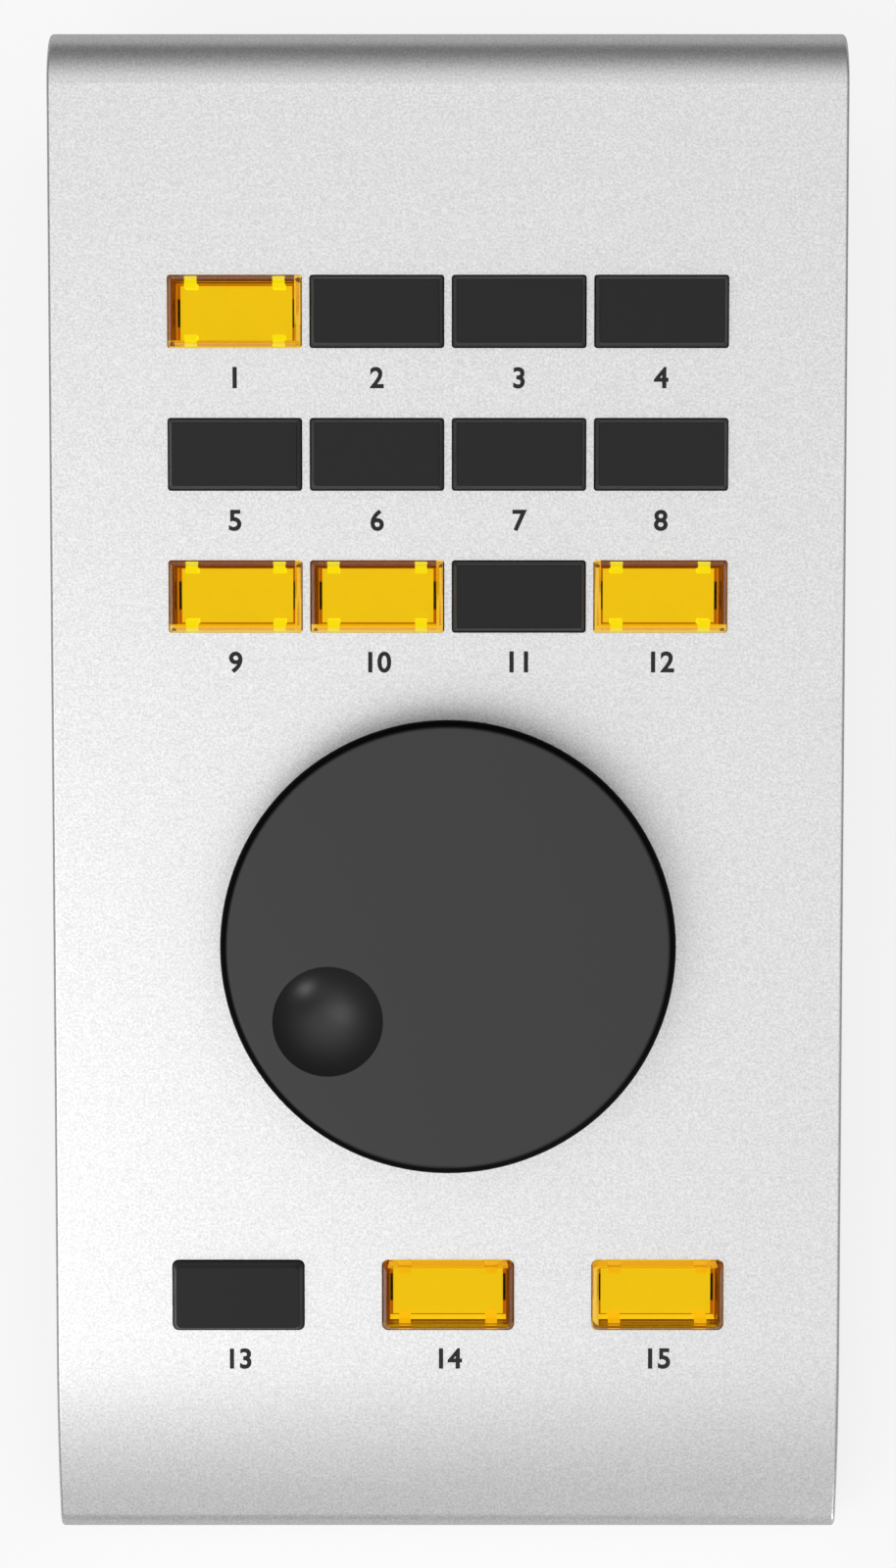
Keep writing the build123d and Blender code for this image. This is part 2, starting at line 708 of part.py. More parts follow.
def pieces():
    """Every node's name with its solid or list of solids."""
    nodes = {
        "top_shell": top_shell(), "base_plate": base_plate(),
        "left_cheek": cheek(-1), "right_cheek": cheek(1), "rubber_feet": rubber_feet(),
        "cheek_screws": [place * sunk_screw(cheek_screw_length) for place in cheek_screw_places()],
        "base_screws": [place * sunk_screw(base_screw_length) for place in base_screw_places()],
        "wheel": wheel(), "wheel_clip": wheel_clip(), "encoder_shaft": encoder_shaft(),
        "encoder_bushing": encoder_bushing(), "encoder_body": encoder_body(),
        "encoder_nut": encoder_nut(), "encoder_washer": encoder_washer(),
        "main_board": main_board(), "key_switches": key_switches(), "leds": leds(),
        "standoffs": standoffs(), "board_screws": board_screws(), "microcontroller": microcontroller(),
        "io_board": io_board(), "io_standoffs": io_standoffs(), "io_screws": io_screws(),
        "board_connectors": board_connectors(), "ribbon_cable": ribbon_cable(),
        "usb_socket": usb_socket(), "usb_tongue": usb_tongue(),
        "footswitch_jack": footswitch_jack(), "jack_nut": jack_nut(),
    }
    caps = {corner: key_cap(corner) for corner in (upper_corner_radius, lower_corner_radius)}
    carrier = key_carrier()
    for number, (u, v, corner) in enumerate(key_places(), start=1):
        place = panel * Pos(u, v, 0)
        nodes[f"key_cap_{number}"] = place * caps[corner]
        nodes[f"key_carrier_{number}"] = place * carrier
    return nodes


os.makedirs("parts", exist_ok=True)
for name, shape in pieces().items():
    solids = shape if isinstance(shape, list) else [shape]
    node = Compound(children=[solid for part in solids for solid in part.solids()])
    export_step(node, f"parts/{name}.step")
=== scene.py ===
import json
import math

import bmesh
import bpy
from mathutils import Matrix, Vector


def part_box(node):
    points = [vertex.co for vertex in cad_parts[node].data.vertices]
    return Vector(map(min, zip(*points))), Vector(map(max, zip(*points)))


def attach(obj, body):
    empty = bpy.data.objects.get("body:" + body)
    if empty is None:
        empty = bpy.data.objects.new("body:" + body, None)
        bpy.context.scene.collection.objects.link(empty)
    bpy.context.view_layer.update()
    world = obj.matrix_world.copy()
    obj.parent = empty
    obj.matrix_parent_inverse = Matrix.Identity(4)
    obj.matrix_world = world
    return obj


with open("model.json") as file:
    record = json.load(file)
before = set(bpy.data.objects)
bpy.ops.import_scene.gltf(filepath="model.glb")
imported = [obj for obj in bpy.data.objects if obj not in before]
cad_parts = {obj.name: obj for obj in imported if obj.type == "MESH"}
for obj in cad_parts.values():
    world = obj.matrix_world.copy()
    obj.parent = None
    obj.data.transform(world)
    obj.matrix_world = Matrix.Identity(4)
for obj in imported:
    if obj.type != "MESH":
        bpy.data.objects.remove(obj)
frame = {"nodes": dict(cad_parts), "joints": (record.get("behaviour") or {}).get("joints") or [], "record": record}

bl_info = {
    "name": "Audio remote controller",
    "version": (1, 0, 0),
    "blender": (4, 5, 0),
    "location": "View3D > Sidebar > Remote",
    "description": "Finishes, printing, socket details and a studio for a desktop audio remote",
    "category": "Object",
}

# The sloping panel's frame comes from the wheel's axis: u to the right, v up the slope, w out of the panel.
JOINTS = {joint["name"]: joint for joint in frame["joints"]}
WHEEL_SPIN = JOINTS["wheel_spin"]
WHEEL_POINT = Vector(WHEEL_SPIN["pos_m"])
PANEL_NORMAL = Vector(WHEEL_SPIN["axis"])
PANEL_ACROSS = Vector((1, 0, 0))
PANEL_UP = PANEL_NORMAL.cross(PANEL_ACROSS)
PANEL_SLOPE = math.atan2(-PANEL_NORMAL.y, PANEL_NORMAL.z)
PANEL = Matrix.Translation(WHEEL_POINT) @ Matrix.Rotation(PANEL_SLOPE, 4, "X")
TO_PANEL = PANEL.inverted()

KEYS = range(1, 1 + sum(name.startswith("key_cap_") for name in frame["nodes"]))
SLOTS = {part["node"]: part["material_slot"] for part in frame["record"]["subparts"]}
LIT_KEYS = [number for number in KEYS if SLOTS[f"key_cap_{number}"] == "cap_amber"]
MM = 0.001


def node_span(node, matrix=Matrix.Identity(4)):
    """Lowest and highest corners of a CAD node's mesh in the frame that the matrix leads to."""
    corners = [matrix @ vertex.co for vertex in frame["nodes"][node].data.vertices]
    low = Vector([min(corner[axis] for corner in corners) for axis in range(3)])
    high = Vector([max(corner[axis] for corner in corners) for axis in range(3)])
    return low, high


WHEEL_LOW, WHEEL_HIGH = node_span("wheel", TO_PANEL)
WHEEL_RADIUS = (WHEEL_HIGH.x - WHEEL_LOW.x) / 2
CAP_LOW, CAP_HIGH = node_span("key_cap_1", TO_PANEL)
LOWER_KEYS = [number for number in KEYS if node_span(f"key_cap_{number}", TO_PANEL)[0].y < 0]

# Directions from the wheel in the panel's frame: the two lamps and the darker side of the studio.
SOFTBOX_DIRECTION = Vector((-0.43, -0.26, 0.865))
FRONT_LAMP_DIRECTION = Vector((0.46, -0.85, 0.28))
SHADED_SIDE = Vector((0.52, -0.58, 0.63))


class FinishSettings(bpy.types.PropertyGroup):
    """Colours and grain sizes of the finishes."""

    shell_color: bpy.props.FloatVectorProperty(
        name="Shell", description="Bead-blasted aluminium", subtype="COLOR", size=3,
        default=(0.87, 0.87, 0.878), min=0, max=1)
    shell_grain: bpy.props.FloatProperty(
        name="Blast grain", description="Size of the pits left by blasting", unit="LENGTH",
        default=0.30 * MM, min=0.01 * MM)
    wheel_color: bpy.props.FloatVectorProperty(
        name="Wheel", description="Satin plastic of the jog wheel", subtype="COLOR", size=3,
        default=(0.025, 0.025, 0.025), min=0, max=1)
    # Painted shade: width of the black band at the wheel's edge, where the rim falls away into shade.
    wheel_rim_width: bpy.props.FloatProperty(
        name="Wheel rim", description="Width of the black grip at the wheel's edge", unit="LENGTH",
        default=0.9 * MM, min=0)
    cap_color: bpy.props.FloatVectorProperty(
        name="Unlit cap", description="Smoked key cap without light", subtype="COLOR", size=3,
        default=(0.0225, 0.0225, 0.0225), min=0, max=1)
    lens_color: bpy.props.FloatVectorProperty(
        name="Lit cap", description="Tint of the clear cap over a lit key", subtype="COLOR", size=3,
        default=(1.0, 0.70, 0.08), min=0, max=1)
    # Painted light: the glows below are emission on the carriers of lit keys, which are no lamps, in place of the
    # light from their LEDs. The near and far flanges, and the hooks and walls of the keys below the wheel, get lit
    # and shaded copies.
    glow_color: bpy.props.FloatVectorProperty(
        name="Glow", description="Light that leaves a lit key's pad", subtype="COLOR", size=3,
        default=(0.79, 0.74, 0.08), min=0, max=1)
    hook_color: bpy.props.FloatVectorProperty(
        name="Hook glow", description="Light piped up by the snap hooks", subtype="COLOR", size=3,
        default=(0.86, 1.0, 0.06), min=0, max=1)
    ledge_color: bpy.props.FloatVectorProperty(
        name="Ledge glow", description="Weak light on the ledge around a lit pad", subtype="COLOR",
        size=3, default=(0.36, 0.095, 0.02), min=0, max=1)
    wall_color: bpy.props.FloatVectorProperty(
        name="Well glow", description="Light on the walls of a lit well", subtype="COLOR", size=3,
        default=(0.36, 0.10, 0.02), min=0, max=1)
    flange_color: bpy.props.FloatVectorProperty(
        name="Flange glow", description="Light on the far flange of a lit carrier, away from the wheel",
        subtype="COLOR", size=3, default=(0.12, 0.028, 0.005), min=0, max=1)
    near_flange_color: bpy.props.FloatVectorProperty(
        name="Near flange glow", description="Light on the flange of a lit carrier, on the wheel's side",
        subtype="COLOR", size=3, default=(0.82, 0.58, 0.05), min=0, max=1)
    lower_hook_color: bpy.props.FloatVectorProperty(
        name="Lower hook glow", description="Light piped up by the snap hooks of the keys below the wheel",
        subtype="COLOR", size=3, default=(0.82, 0.60, 0.05), min=0, max=1)
    floor_drop: bpy.props.FloatProperty(
        name="Well depth", description="From the panel down to the floor of a key's light well",
        unit="LENGTH", default=5.4 * MM)
    pad_height: bpy.props.FloatProperty(
        name="Pad height", description="Height of the light pad over the floor of its well", unit="LENGTH",
        default=0.3 * MM)
    well_inset: bpy.props.FloatProperty(
        name="Well inset", description="From a cap's side to the inside of its light well", unit="LENGTH",
        default=0.9 * MM)
    plastic_color: bpy.props.FloatVectorProperty(
        name="Cheeks", description="Moulded black plastic of the end cheeks", subtype="COLOR", size=3,
        default=(0.020, 0.020, 0.021), min=0, max=1)
    board_color: bpy.props.FloatVectorProperty(
        name="Boards", description="Solder mask of the boards", subtype="COLOR", size=3,
        default=(0.004, 0.014, 0.007), min=0, max=1)


class PrintSettings(bpy.types.PropertyGroup):
    """Numbers printed in front of the keys."""

    digit_height: bpy.props.FloatProperty(
        name="Digit height", description="Height of a printed digit", unit="LENGTH",
        default=2.65 * MM, min=0.1 * MM)
    drop: bpy.props.FloatProperty(
        name="Drop", description="From a key's middle to the middle of its number", unit="LENGTH",
        default=8.8 * MM)
    stroke_gain: bpy.props.FloatProperty(
        name="Stroke gain", description="Extra stroke width that makes the digits semi-bold", unit="LENGTH",
        default=0.10 * MM)
    film: bpy.props.FloatProperty(
        name="Ink film", description="Thickness of the printed ink", unit="LENGTH", default=0.02 * MM)
    ink_color: bpy.props.FloatVectorProperty(
        name="Ink", description="Printing ink", subtype="COLOR", size=3, default=(0.006, 0.006, 0.006),
        min=0, max=1)


class SocketSettings(bpy.types.PropertyGroup):
    """Details of the rear sockets."""

    contact_width: bpy.props.FloatProperty(
        name="Contact width", description="Width of a gilt contact", unit="LENGTH", default=1.008 * MM)
    contact_length: bpy.props.FloatProperty(
        name="Contact length", description="Length of a gilt contact", unit="LENGTH", default=7.425 * MM)
    contact_rise: bpy.props.FloatProperty(
        name="Contact rise", description="How far a contact stands out of the tongue", unit="LENGTH",
        default=0.12 * MM)
    contact_spread: bpy.props.FloatProperty(
        name="Contact spread", description="From the tongue's middle to the middle of a contact",
        unit="LENGTH", default=1.232 * MM)
    contact_setback: bpy.props.FloatProperty(
        name="Contact setback", description="From the tongue's end to the middle of a contact",
        unit="LENGTH", default=4.826 * MM)
    collar_inner_radius: bpy.props.FloatProperty(
        name="Collar inner radius", description="Inner radius of the collar at the jack's mouth",
        unit="LENGTH", default=3.35 * MM)
    collar_outer_radius: bpy.props.FloatProperty(
        name="Collar outer radius", description="Outer radius of the collar at the jack's mouth",
        unit="LENGTH", default=4.45 * MM)
    collar_rise: bpy.props.FloatProperty(
        name="Collar rise", description="How far the collar stands out of the jack's mouth", unit="LENGTH",
        default=0.25 * MM)


class StageSettings(bpy.types.PropertyGroup):
    """Camera, lamps and floor."""

    lens: bpy.props.FloatProperty(
        name="Lens", description="Focal length on a 36 mm sensor", default=85.5, min=1)
    camera_distance: bpy.props.FloatProperty(
        name="Camera distance", description="From the aim point on the panel to the camera", unit="LENGTH",
        default=0.503, min=0.1)
    camera_lean: bpy.props.FloatProperty(
        name="Camera lean", description="Lean of the view from the panel's normal to the rear",
        subtype="ANGLE", default=math.radians(4.42))
    aim_above_wheel: bpy.props.FloatProperty(
        name="Aim above wheel", description="From the wheel's axis up the slope to the aim point",
        unit="LENGTH", default=21.0 * MM)
    floor_color: bpy.props.FloatVectorProperty(
        name="Floor", description="Pale studio floor", subtype="COLOR", size=3, default=(0.62, 0.62, 0.62),
        min=0, max=1)
    floor_width: bpy.props.FloatProperty(
        name="Floor width", description="Width of the studio floor", unit="LENGTH", default=8.0, min=0.5)
    floor_gap: bpy.props.FloatProperty(
        name="Floor gap", description="Hair between the feet and the floor, so that they do not share a face",
        unit="LENGTH", default=0.02 * MM, min=0)
    softbox_level: bpy.props.FloatProperty(
        name="Softbox level", description="Radiance of the large softbox at the front left", default=1.22,
        min=0)
    front_lamp_level: bpy.props.FloatProperty(
        name="Front lamp level", description="Radiance of the low lamp at the front", default=10.5, min=0)
    softbox_width: bpy.props.FloatProperty(
        name="Softbox width", description="Width of the large softbox", unit="LENGTH", default=0.5, min=0.01)
    front_lamp_width: bpy.props.FloatProperty(
        name="Front lamp width", description="Width of the low front lamp", unit="LENGTH", default=0.2,
        min=0.01)
    lamp_distance: bpy.props.FloatProperty(
        name="Lamp distance", description="From the wheel to each lamp", unit="LENGTH", default=0.9, min=0.1)
    sky_level: bpy.props.FloatProperty(
        name="Ceiling level", description="Radiance of the studio overhead", default=1.08, min=0)
    wall_level: bpy.props.FloatProperty(
        name="Wall level", description="Radiance of the studio walls at the horizon", default=0.04, min=0)
    ceiling_lean: bpy.props.FloatProperty(
        name="Ceiling lean", description="Lean of the studio's brightest part from overhead to the front",
        subtype="ANGLE", default=math.radians(16))
    shade_depth: bpy.props.FloatProperty(
        name="Shaded side", description="Share of the light that is missing on the studio's shaded side",
        subtype="FACTOR", default=0.65, min=0, max=1)
    shade_reach: bpy.props.FloatProperty(
        name="Shade reach", description="Angle from the middle of the shaded side at which the shade starts",
        subtype="ANGLE", default=math.radians(32))
    shade_core: bpy.props.FloatProperty(
        name="Shade core", description="Angle from the middle of the shaded side within which it is deepest",
        subtype="ANGLE", default=math.radians(8))
    floor_glow: bpy.props.FloatProperty(
        name="Floor glow", description="Share of plain white that the camera sees on the floor",
        subtype="FACTOR", default=0.6, min=0, max=1)
    floor_white: bpy.props.FloatProperty(
        name="Floor white", description="Level of that white, which makes up for the floor's own grey",
        default=1.33, min=0)
    floor_mirror_glow: bpy.props.FloatProperty(
        name="Floor glow in mirrors", description="Share of plain white on the floor seen in metal and glass",
        subtype="FACTOR", default=0.13, min=0, max=1)


class Socket:
    """An output socket that takes part in Python arithmetic: each operation adds a Math node."""

    def __init__(self, tree, output):
        self.tree = tree
        self.output = output

    def node(self, kind, settings, inputs, out=0):
        """Add a node of this kind, make its settings, fill its inputs and return one of its outputs."""
        made = self.tree.nodes.new(kind)
        for name, value in settings.items():
            setattr(made, name, value)
        for name, value in inputs.items():
            if isinstance(value, Socket):
                self.tree.links.new(value.output, made.inputs[name])
            else:
                made.inputs[name].default_value = value
        return Socket(self.tree, made.outputs[out])

    def math(self, operation, other=0.0):
        """Add a Math node that works on this value and another."""
        return self.node("ShaderNodeMath", {"operation": operation}, {0: self, 1: other})

    def __add__(self, other):
        return self.math("ADD", other)

    __radd__ = __add__

    def __sub__(self, other):
        return self.math("SUBTRACT", other)

    def __rsub__(self, other):
        return self.node("ShaderNodeMath", {"operation": "SUBTRACT"}, {0: other, 1: self})

    def __mul__(self, other):
        return self.math("MULTIPLY", other)

    __rmul__ = __mul__

    def __gt__(self, other):
        return self.math("GREATER_THAN", other)

    def __lt__(self, other):
        return self.math("LESS_THAN", other)

    def __abs__(self):
        return self.math("ABSOLUTE")

    def step(self, low, high, start=0.0, end=1.0):
        """Smooth step of this value from start at low to end at high."""
        return self.node("ShaderNodeMapRange", {"interpolation_type": "SMOOTHSTEP"},
                         {"Value": self, "From Min": low, "From Max": high, "To Min": start, "To Max": end})

    def mix(self, first, second):
        """Colour that goes from first to second as this value goes from 0 to 1."""
        colors = {6: first, 7: second}
        for key, color in colors.items():
            if not isinstance(color, Socket):
                colors[key] = (*color[:3], 1)
        return self.node("ShaderNodeMix", {"data_type": "RGBA"}, {0: self, **colors}, out=2)

    def noise(self, size, detail=2.0, rough=0.5):
        """Noise over this vector with features of about the given size."""
        return self.node("ShaderNodeTexNoise", {}, {
            "Vector": self, "Scale": 1 / size, "Detail": detail, "Roughness": rough})

    def axes(self):
        """The three numbers of this vector."""
        parts = self.node("ShaderNodeSeparateXYZ", {}, {0: self})
        return [Socket(self.tree, parts.output.node.outputs[axis]) for axis in range(3)]

    def mapped(self, location=(0, 0, 0), rotation=(0, 0, 0), scale=(1, 1, 1)):
        """This vector measured in a frame with the given place, turn and scale."""
        return self.node("ShaderNodeMapping", {"vector_type": "TEXTURE"}, {
            "Vector": self, "Location": location, "Rotation": rotation, "Scale": scale})

    def bump(self, depth, strength=1.0):
        """Normal that follows this height, given as a share of depth."""
        return self.node("ShaderNodeBump", {}, {"Height": self, "Distance": depth, "Strength": strength})


class Finish:
    """A material under construction: its Principled shader and its Object coordinates."""

    def __init__(self, name, color, roughness, **constants):
        self.material = bpy.data.materials.new(name)
        self.material.use_nodes = True
        self.tree = self.material.node_tree
        self.shader = self.tree.nodes["Principled BSDF"]
        self.place = Socket(self.tree, self.tree.nodes.new("ShaderNodeTexCoord").outputs["Object"])
        self.color = tuple(color)
        self.set("Base Color", (*self.color, 1))
        self.set("Roughness", roughness)
        for key, value in constants.items():
            self.set(key.replace("_", " ").title().replace("Ior", "IOR"), value)

    def set(self, name, value):
        """Set a socket of the shader to a constant or feed it from a node."""
        if isinstance(value, Socket):
            self.tree.links.new(value.output, self.shader.inputs[name])
        else:
            self.shader.inputs[name].default_value = value

    def panel_place(self):
        """Object coordinates measured on the panel: u, v and w in metres from the wheel's axis."""
        return self.place.mapped(WHEEL_POINT, (PANEL_SLOPE, 0, 0))

    def shade(self, value, low, high):
        """Vary the base colour by a value from 0 to 1 between two shares of itself."""
        dark = tuple(channel * low for channel in self.color)
        light = tuple(min(channel * high, 1) for channel in self.color)
        self.set("Base Color", value.mix(dark, light))


def blasted_aluminium(settings):
    """Bead-blasted, clear anodised aluminium: fine pits over faint cloudiness."""
    finish = Finish("blasted_aluminium", settings.shell_color, 0.40, metallic=0.75)
    pits = finish.place.noise(settings.shell_grain, detail=3.0, rough=0.65)
    clouds = finish.place.noise(9 * MM, detail=2.0)
    finish.shade(pits.step(0.32, 0.68) * 0.9 + clouds * 0.1, 0.82, 1.13)
    finish.set("Roughness", 0.29 + 0.10 * pits + 0.03 * clouds)
    finish.set("Normal", pits.bump(0.02 * MM, 0.7))
    return finish.material


def moulded_plastic(name, color, grain=0.3 * MM, roughness=0.5, depth=0.01 * MM):
    """Moulded plastic with a spark-eroded texture."""
    finish = Finish(name, color, roughness)
    cells = finish.place.noise(grain, detail=2.0, rough=0.6)
    wear = finish.place.noise(14 * MM, detail=3.0)
    finish.shade(cells * 0.5 + wear * 0.5, 0.82, 1.18)
    finish.set("Roughness", roughness - 0.06 + 0.12 * cells + 0.05 * wear)
    finish.set("Normal", cells.bump(depth, 0.6))
    return finish.material


def powder_coat(name, color):
    """Powder coat with its orange peel and a fine sparkle."""
    finish = Finish(name, color, 0.48)
    peel = finish.place.noise(0.8 * MM, detail=1.0)
    speck = finish.place.noise(0.12 * MM, detail=1.0)
    finish.shade(speck, 0.7, 1.35)
    finish.set("Roughness", 0.40 + 0.18 * peel)
    finish.set("Normal", peel.bump(0.03 * MM, 0.7))
    return finish.material


def foot_rubber(name, color):
    """Matt rubber with a dusty bloom that gathers near the ground."""
    finish = Finish(name, color, 0.85)
    bloom = finish.place.noise(1.2 * MM, detail=4.0, rough=0.7)
    _, _, height = finish.place.axes()
    dust = height.step(0.0, 1.6 * MM, 1.0, 0.2)
    finish.shade(bloom * dust, 0.8, 2.4)
    finish.set("Normal", bloom.bump(0.02 * MM, 0.5))
    return finish.material


def turned_metal(name, color, roughness, groove=0.08 * MM, centre=WHEEL_POINT, turn=(PANEL_SLOPE, 0, 0)):
    """Metal turned on a lathe: fine rings about an axis, with faint wear."""
    finish = Finish(name, color, roughness, metallic=1.0)
    local = finish.place.mapped(centre, turn)
    rings = local.mapped(scale=(1.0, 1.0, 0.02)).noise(groove, detail=1.0)
    wear = finish.place.noise(2.5 * MM, detail=3.0)
    finish.shade(rings * 0.6 + wear * 0.4, 0.82, 1.12)
    finish.set("Roughness", roughness - 0.08 + 0.12 * rings + 0.10 * wear)
    finish.set("Normal", rings.bump(0.004 * MM, 0.5))
    return finish.material


def plated_metal(name, color, roughness):
    """Plated metal with fine drawing lines along its length and faint stains."""
    finish = Finish(name, color, roughness, metallic=1.0)
    lines = finish.place.mapped(scale=(1.0, 25.0, 1.0)).noise(0.15 * MM, detail=2.0)
    stains = finish.place.noise(4 * MM, detail=4.0, rough=0.6)
    finish.shade(lines * 0.4 + stains * 0.6, 0.84, 1.10)
    finish.set("Roughness", roughness - 0.05 + 0.10 * lines + 0.08 * stains)
    finish.set("Normal", lines.bump(0.004 * MM, 0.4))
    return finish.material


def oxide_steel(name, color):
    """Black oxide on steel, rubbed a little brighter in places."""
    finish = Finish(name, color, 0.38, metallic=1.0)
    rub = finish.place.noise(0.7 * MM, detail=4.0, rough=0.65)
    finish.shade(rub.step(0.35, 0.75), 0.7, 2.2)
    finish.set("Roughness", 0.30 + 0.22 * rub)
    finish.set("Normal", rub.bump(0.006 * MM, 0.5))
    return finish.material


def wheel_plastic(settings):
    """Satin plastic of the wheel, with painted shade at its rim: a black band, nearly without reflection, where
    the edge falls away into shade.
    """
    finish = Finish("wheel_plastic", settings.wheel_color, 0.35, specular_ior_level=0.56)
    local = finish.panel_place()
    u, v, _ = local.axes()
    from_axis = (u * u + v * v).math("SQRT")
    rim_start = WHEEL_RADIUS - settings.wheel_rim_width
    rim = from_axis.step(rim_start - 0.30 * MM, rim_start + 0.25 * MM)
    grain = local.noise(0.22 * MM, detail=2.0, rough=0.6)
    touch = local.noise(17 * MM, detail=3.0)
    dull = tuple(channel * 0.90 for channel in settings.wheel_color)
    pale = tuple(channel * 1.10 for channel in settings.wheel_color)
    face = (grain * 0.6 + touch * 0.4).mix(dull, pale)
    # Painted shade: the rim's band is made black and nearly unreflecting. It stands in for the shade on the edge's
    # fillet.
    painted_shade_black = (0.004, 0.004, 0.004)
    finish.set("Base Color", rim.mix(face, painted_shade_black))
    finish.set("Metallic", rim * 0.9)
    finish.set("Roughness", 0.35 + 0.05 * grain + 0.04 * touch + 0.3 * rim)
    finish.set("Normal", grain.bump(0.004 * MM, 0.5))
    return finish.material


def unlit_cap(settings):
    """Smoked cap of an unlit key: satin skin with fine handling marks."""
    finish = Finish("unlit_cap", settings.cap_color, 0.40, specular_ior_level=0.2)
    skin = finish.place.noise(0.25 * MM, detail=2.0)
    marks = finish.place.noise(6 * MM, detail=4.0, rough=0.6)
    finish.shade(skin * 0.4 + marks * 0.6, 0.88, 1.12)
    finish.set("Roughness", 0.34 + 0.06 * skin + 0.08 * marks)
    finish.set("Normal", skin.bump(0.004 * MM, 0.5))
    return finish.material


def lit_cap(settings):
    """Clear amber cap over a lit carrier."""
    finish = Finish("lit_cap", settings.lens_color, 0.04, transmission_weight=1.0, ior=1.18,
                    specular_ior_level=0.25, specular_tint=(1.0, 0.60, 0.10, 1.0))
    marks = finish.place.noise(5 * MM, detail=4.0, rough=0.6)
    finish.set("Roughness", 0.015 + 0.05 * marks)
    return finish.material


def lit_carrier(settings, number):
    """Light carrier of a lit key, glowing with painted light in place of its LED: a glowing pad in its well, lit
    walls, bright hooks, a dim ledge, and flanges painted lit or shaded by their side.
    """
    amber = (0.10, 0.05, 0.004)
    finish = Finish(f"lit_carrier_{number}", amber, 0.45)
    middle = key_middle(number)
    local = finish.panel_place().mapped((middle.x, middle.y, 0))
    u, v, w = local.axes()
    edge = 0.05 * MM
    half_width = (CAP_HIGH.x - CAP_LOW.x) / 2 - settings.well_inset
    half_depth = (CAP_HIGH.y - CAP_LOW.y) / 2 - settings.well_inset
    # The places on the carrier, each as a mask.
    inside = (abs(u) < half_width - edge) * (abs(v) < half_depth - edge)
    under_floor = w < -settings.floor_drop - edge
    on_pad = w > settings.pad_height / 2 - settings.floor_drop
    over_pad = w > settings.pad_height - settings.floor_drop + edge
    on_flange = w > CAP_LOW.z - edge
    hook = (inside * over_pad).math("MAXIMUM", w > CAP_LOW.z + edge)
    # Painted light and shade: the flange on the wheel's side gets a bright glow, and the far flange gets a dim
    # one.
    to_wheel = (v * -math.copysign(1, middle.y)) > half_depth
    if abs(middle.x) >= half_width:
        to_wheel = to_wheel.math("MAXIMUM", (u * -math.copysign(1, middle.x)) > half_width)
    # The painted light that each place gives off. The carrier is no lamp, and its sides get lit or shaded copies
    # by where they lie.
    cloud = local.noise(4 * MM, detail=2.0)
    glow = cloud.mix(tuple(channel * 0.95 for channel in settings.glow_color), settings.glow_color)
    wall, hook_color = settings.wall_color, settings.hook_color
    # Painted light: below the wheel, the lower wall gets the pad's glow and the hooks get a paler glow.
    if number in LOWER_KEYS:
        wall = (v < edge - half_depth).mix(settings.wall_color, glow)
        hook_color = settings.lower_hook_color
    light = over_pad.mix(on_pad.mix(settings.ledge_color, glow), wall)
    light = on_flange.mix(light, to_wheel.mix(settings.flange_color, settings.near_flange_color))
    light = under_floor.mix(hook.mix(light, hook_color), (0, 0, 0))
    finish.set("Emission Color", light)
    finish.set("Emission Strength", 1.0)
    return finish.material


def unlit_carrier():
    """Light carrier of an unlit key: dull translucent plastic."""
    return moulded_plastic("unlit_carrier", (0.03, 0.028, 0.024), roughness=0.45)


def solder_mask(settings):
    """Board: green solder mask over straight copper tracks."""
    finish = Finish("solder_mask", settings.board_color, 0.32, specular_ior_level=0.55)
    local = finish.panel_place()
    track_unit = 7 * MM
    tracks = local.node("ShaderNodeTexBrick", {"offset": 0.35, "squash": 1.0}, {
        "Vector": local, "Color1": (1, 1, 1, 1), "Color2": (0.55, 0.55, 0.55, 1), "Mortar": (0, 0, 0, 1),
        "Scale": 1 / track_unit, "Mortar Size": 0.05, "Brick Width": 1.6, "Row Height": 0.22})
    weave = finish.place.noise(0.5 * MM, detail=2.0)
    dark = tuple(channel * 0.6 for channel in settings.board_color)
    light = tuple(channel * 1.5 for channel in settings.board_color)
    shade = tracks.node("ShaderNodeRGBToBW", {}, {0: tracks})
    finish.set("Base Color", (shade * 0.8 + weave * 0.2).mix(dark, light))
    finish.set("Roughness", 0.26 + 0.12 * weave)
    finish.set("Normal", shade.bump(0.02 * MM, 0.5))
    return finish.material


def lamp_resin(name, color):
    """Cast resin of the lamps, with a faint uneven haze."""
    finish = Finish(name, color, 0.2, coat_weight=0.3)
    haze = finish.place.noise(0.6 * MM, detail=3.0)
    finish.shade(haze, 0.75, 1.15)
    finish.set("Roughness", 0.14 + 0.16 * haze)
    return finish.material


def ribbon_vinyl(name, color, pitch=1.27 * MM):
    """Ribbon of side-by-side wires."""
    finish = Finish(name, color, 0.5)
    u, _, _ = finish.place.axes()
    wires = abs((u * (math.pi / pitch)).math("SINE"))
    scuff = finish.place.noise(3 * MM, detail=3.0)
    # Painted shade: the base colour darkens in the grooves between the wires and lightens on their crests. The
    # scuffs are wear.
    finish.shade(wires * 0.8 + scuff * 0.2, 0.7, 1.1)
    finish.set("Roughness", 0.42 + 0.15 * scuff)
    finish.set("Normal", wires.bump(0.3 * MM, 0.7))
    return finish.material


def printing_ink(settings):
    """Black screen-printing ink with a faintly uneven film."""
    finish = Finish("printing_ink", settings.ink_color, 0.55)
    film = finish.place.noise(0.3 * MM, detail=2.0)
    finish.shade(film, 0.6, 1.4)
    finish.set("Roughness", 0.48 + 0.14 * film)
    return finish.material


def dress(node, material):
    """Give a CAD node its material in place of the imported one."""
    slots = frame["nodes"][node].material_slots
    for slot in slots:
        slot.material = material
    if not slots:
        frame["nodes"][node].data.materials.append(material)


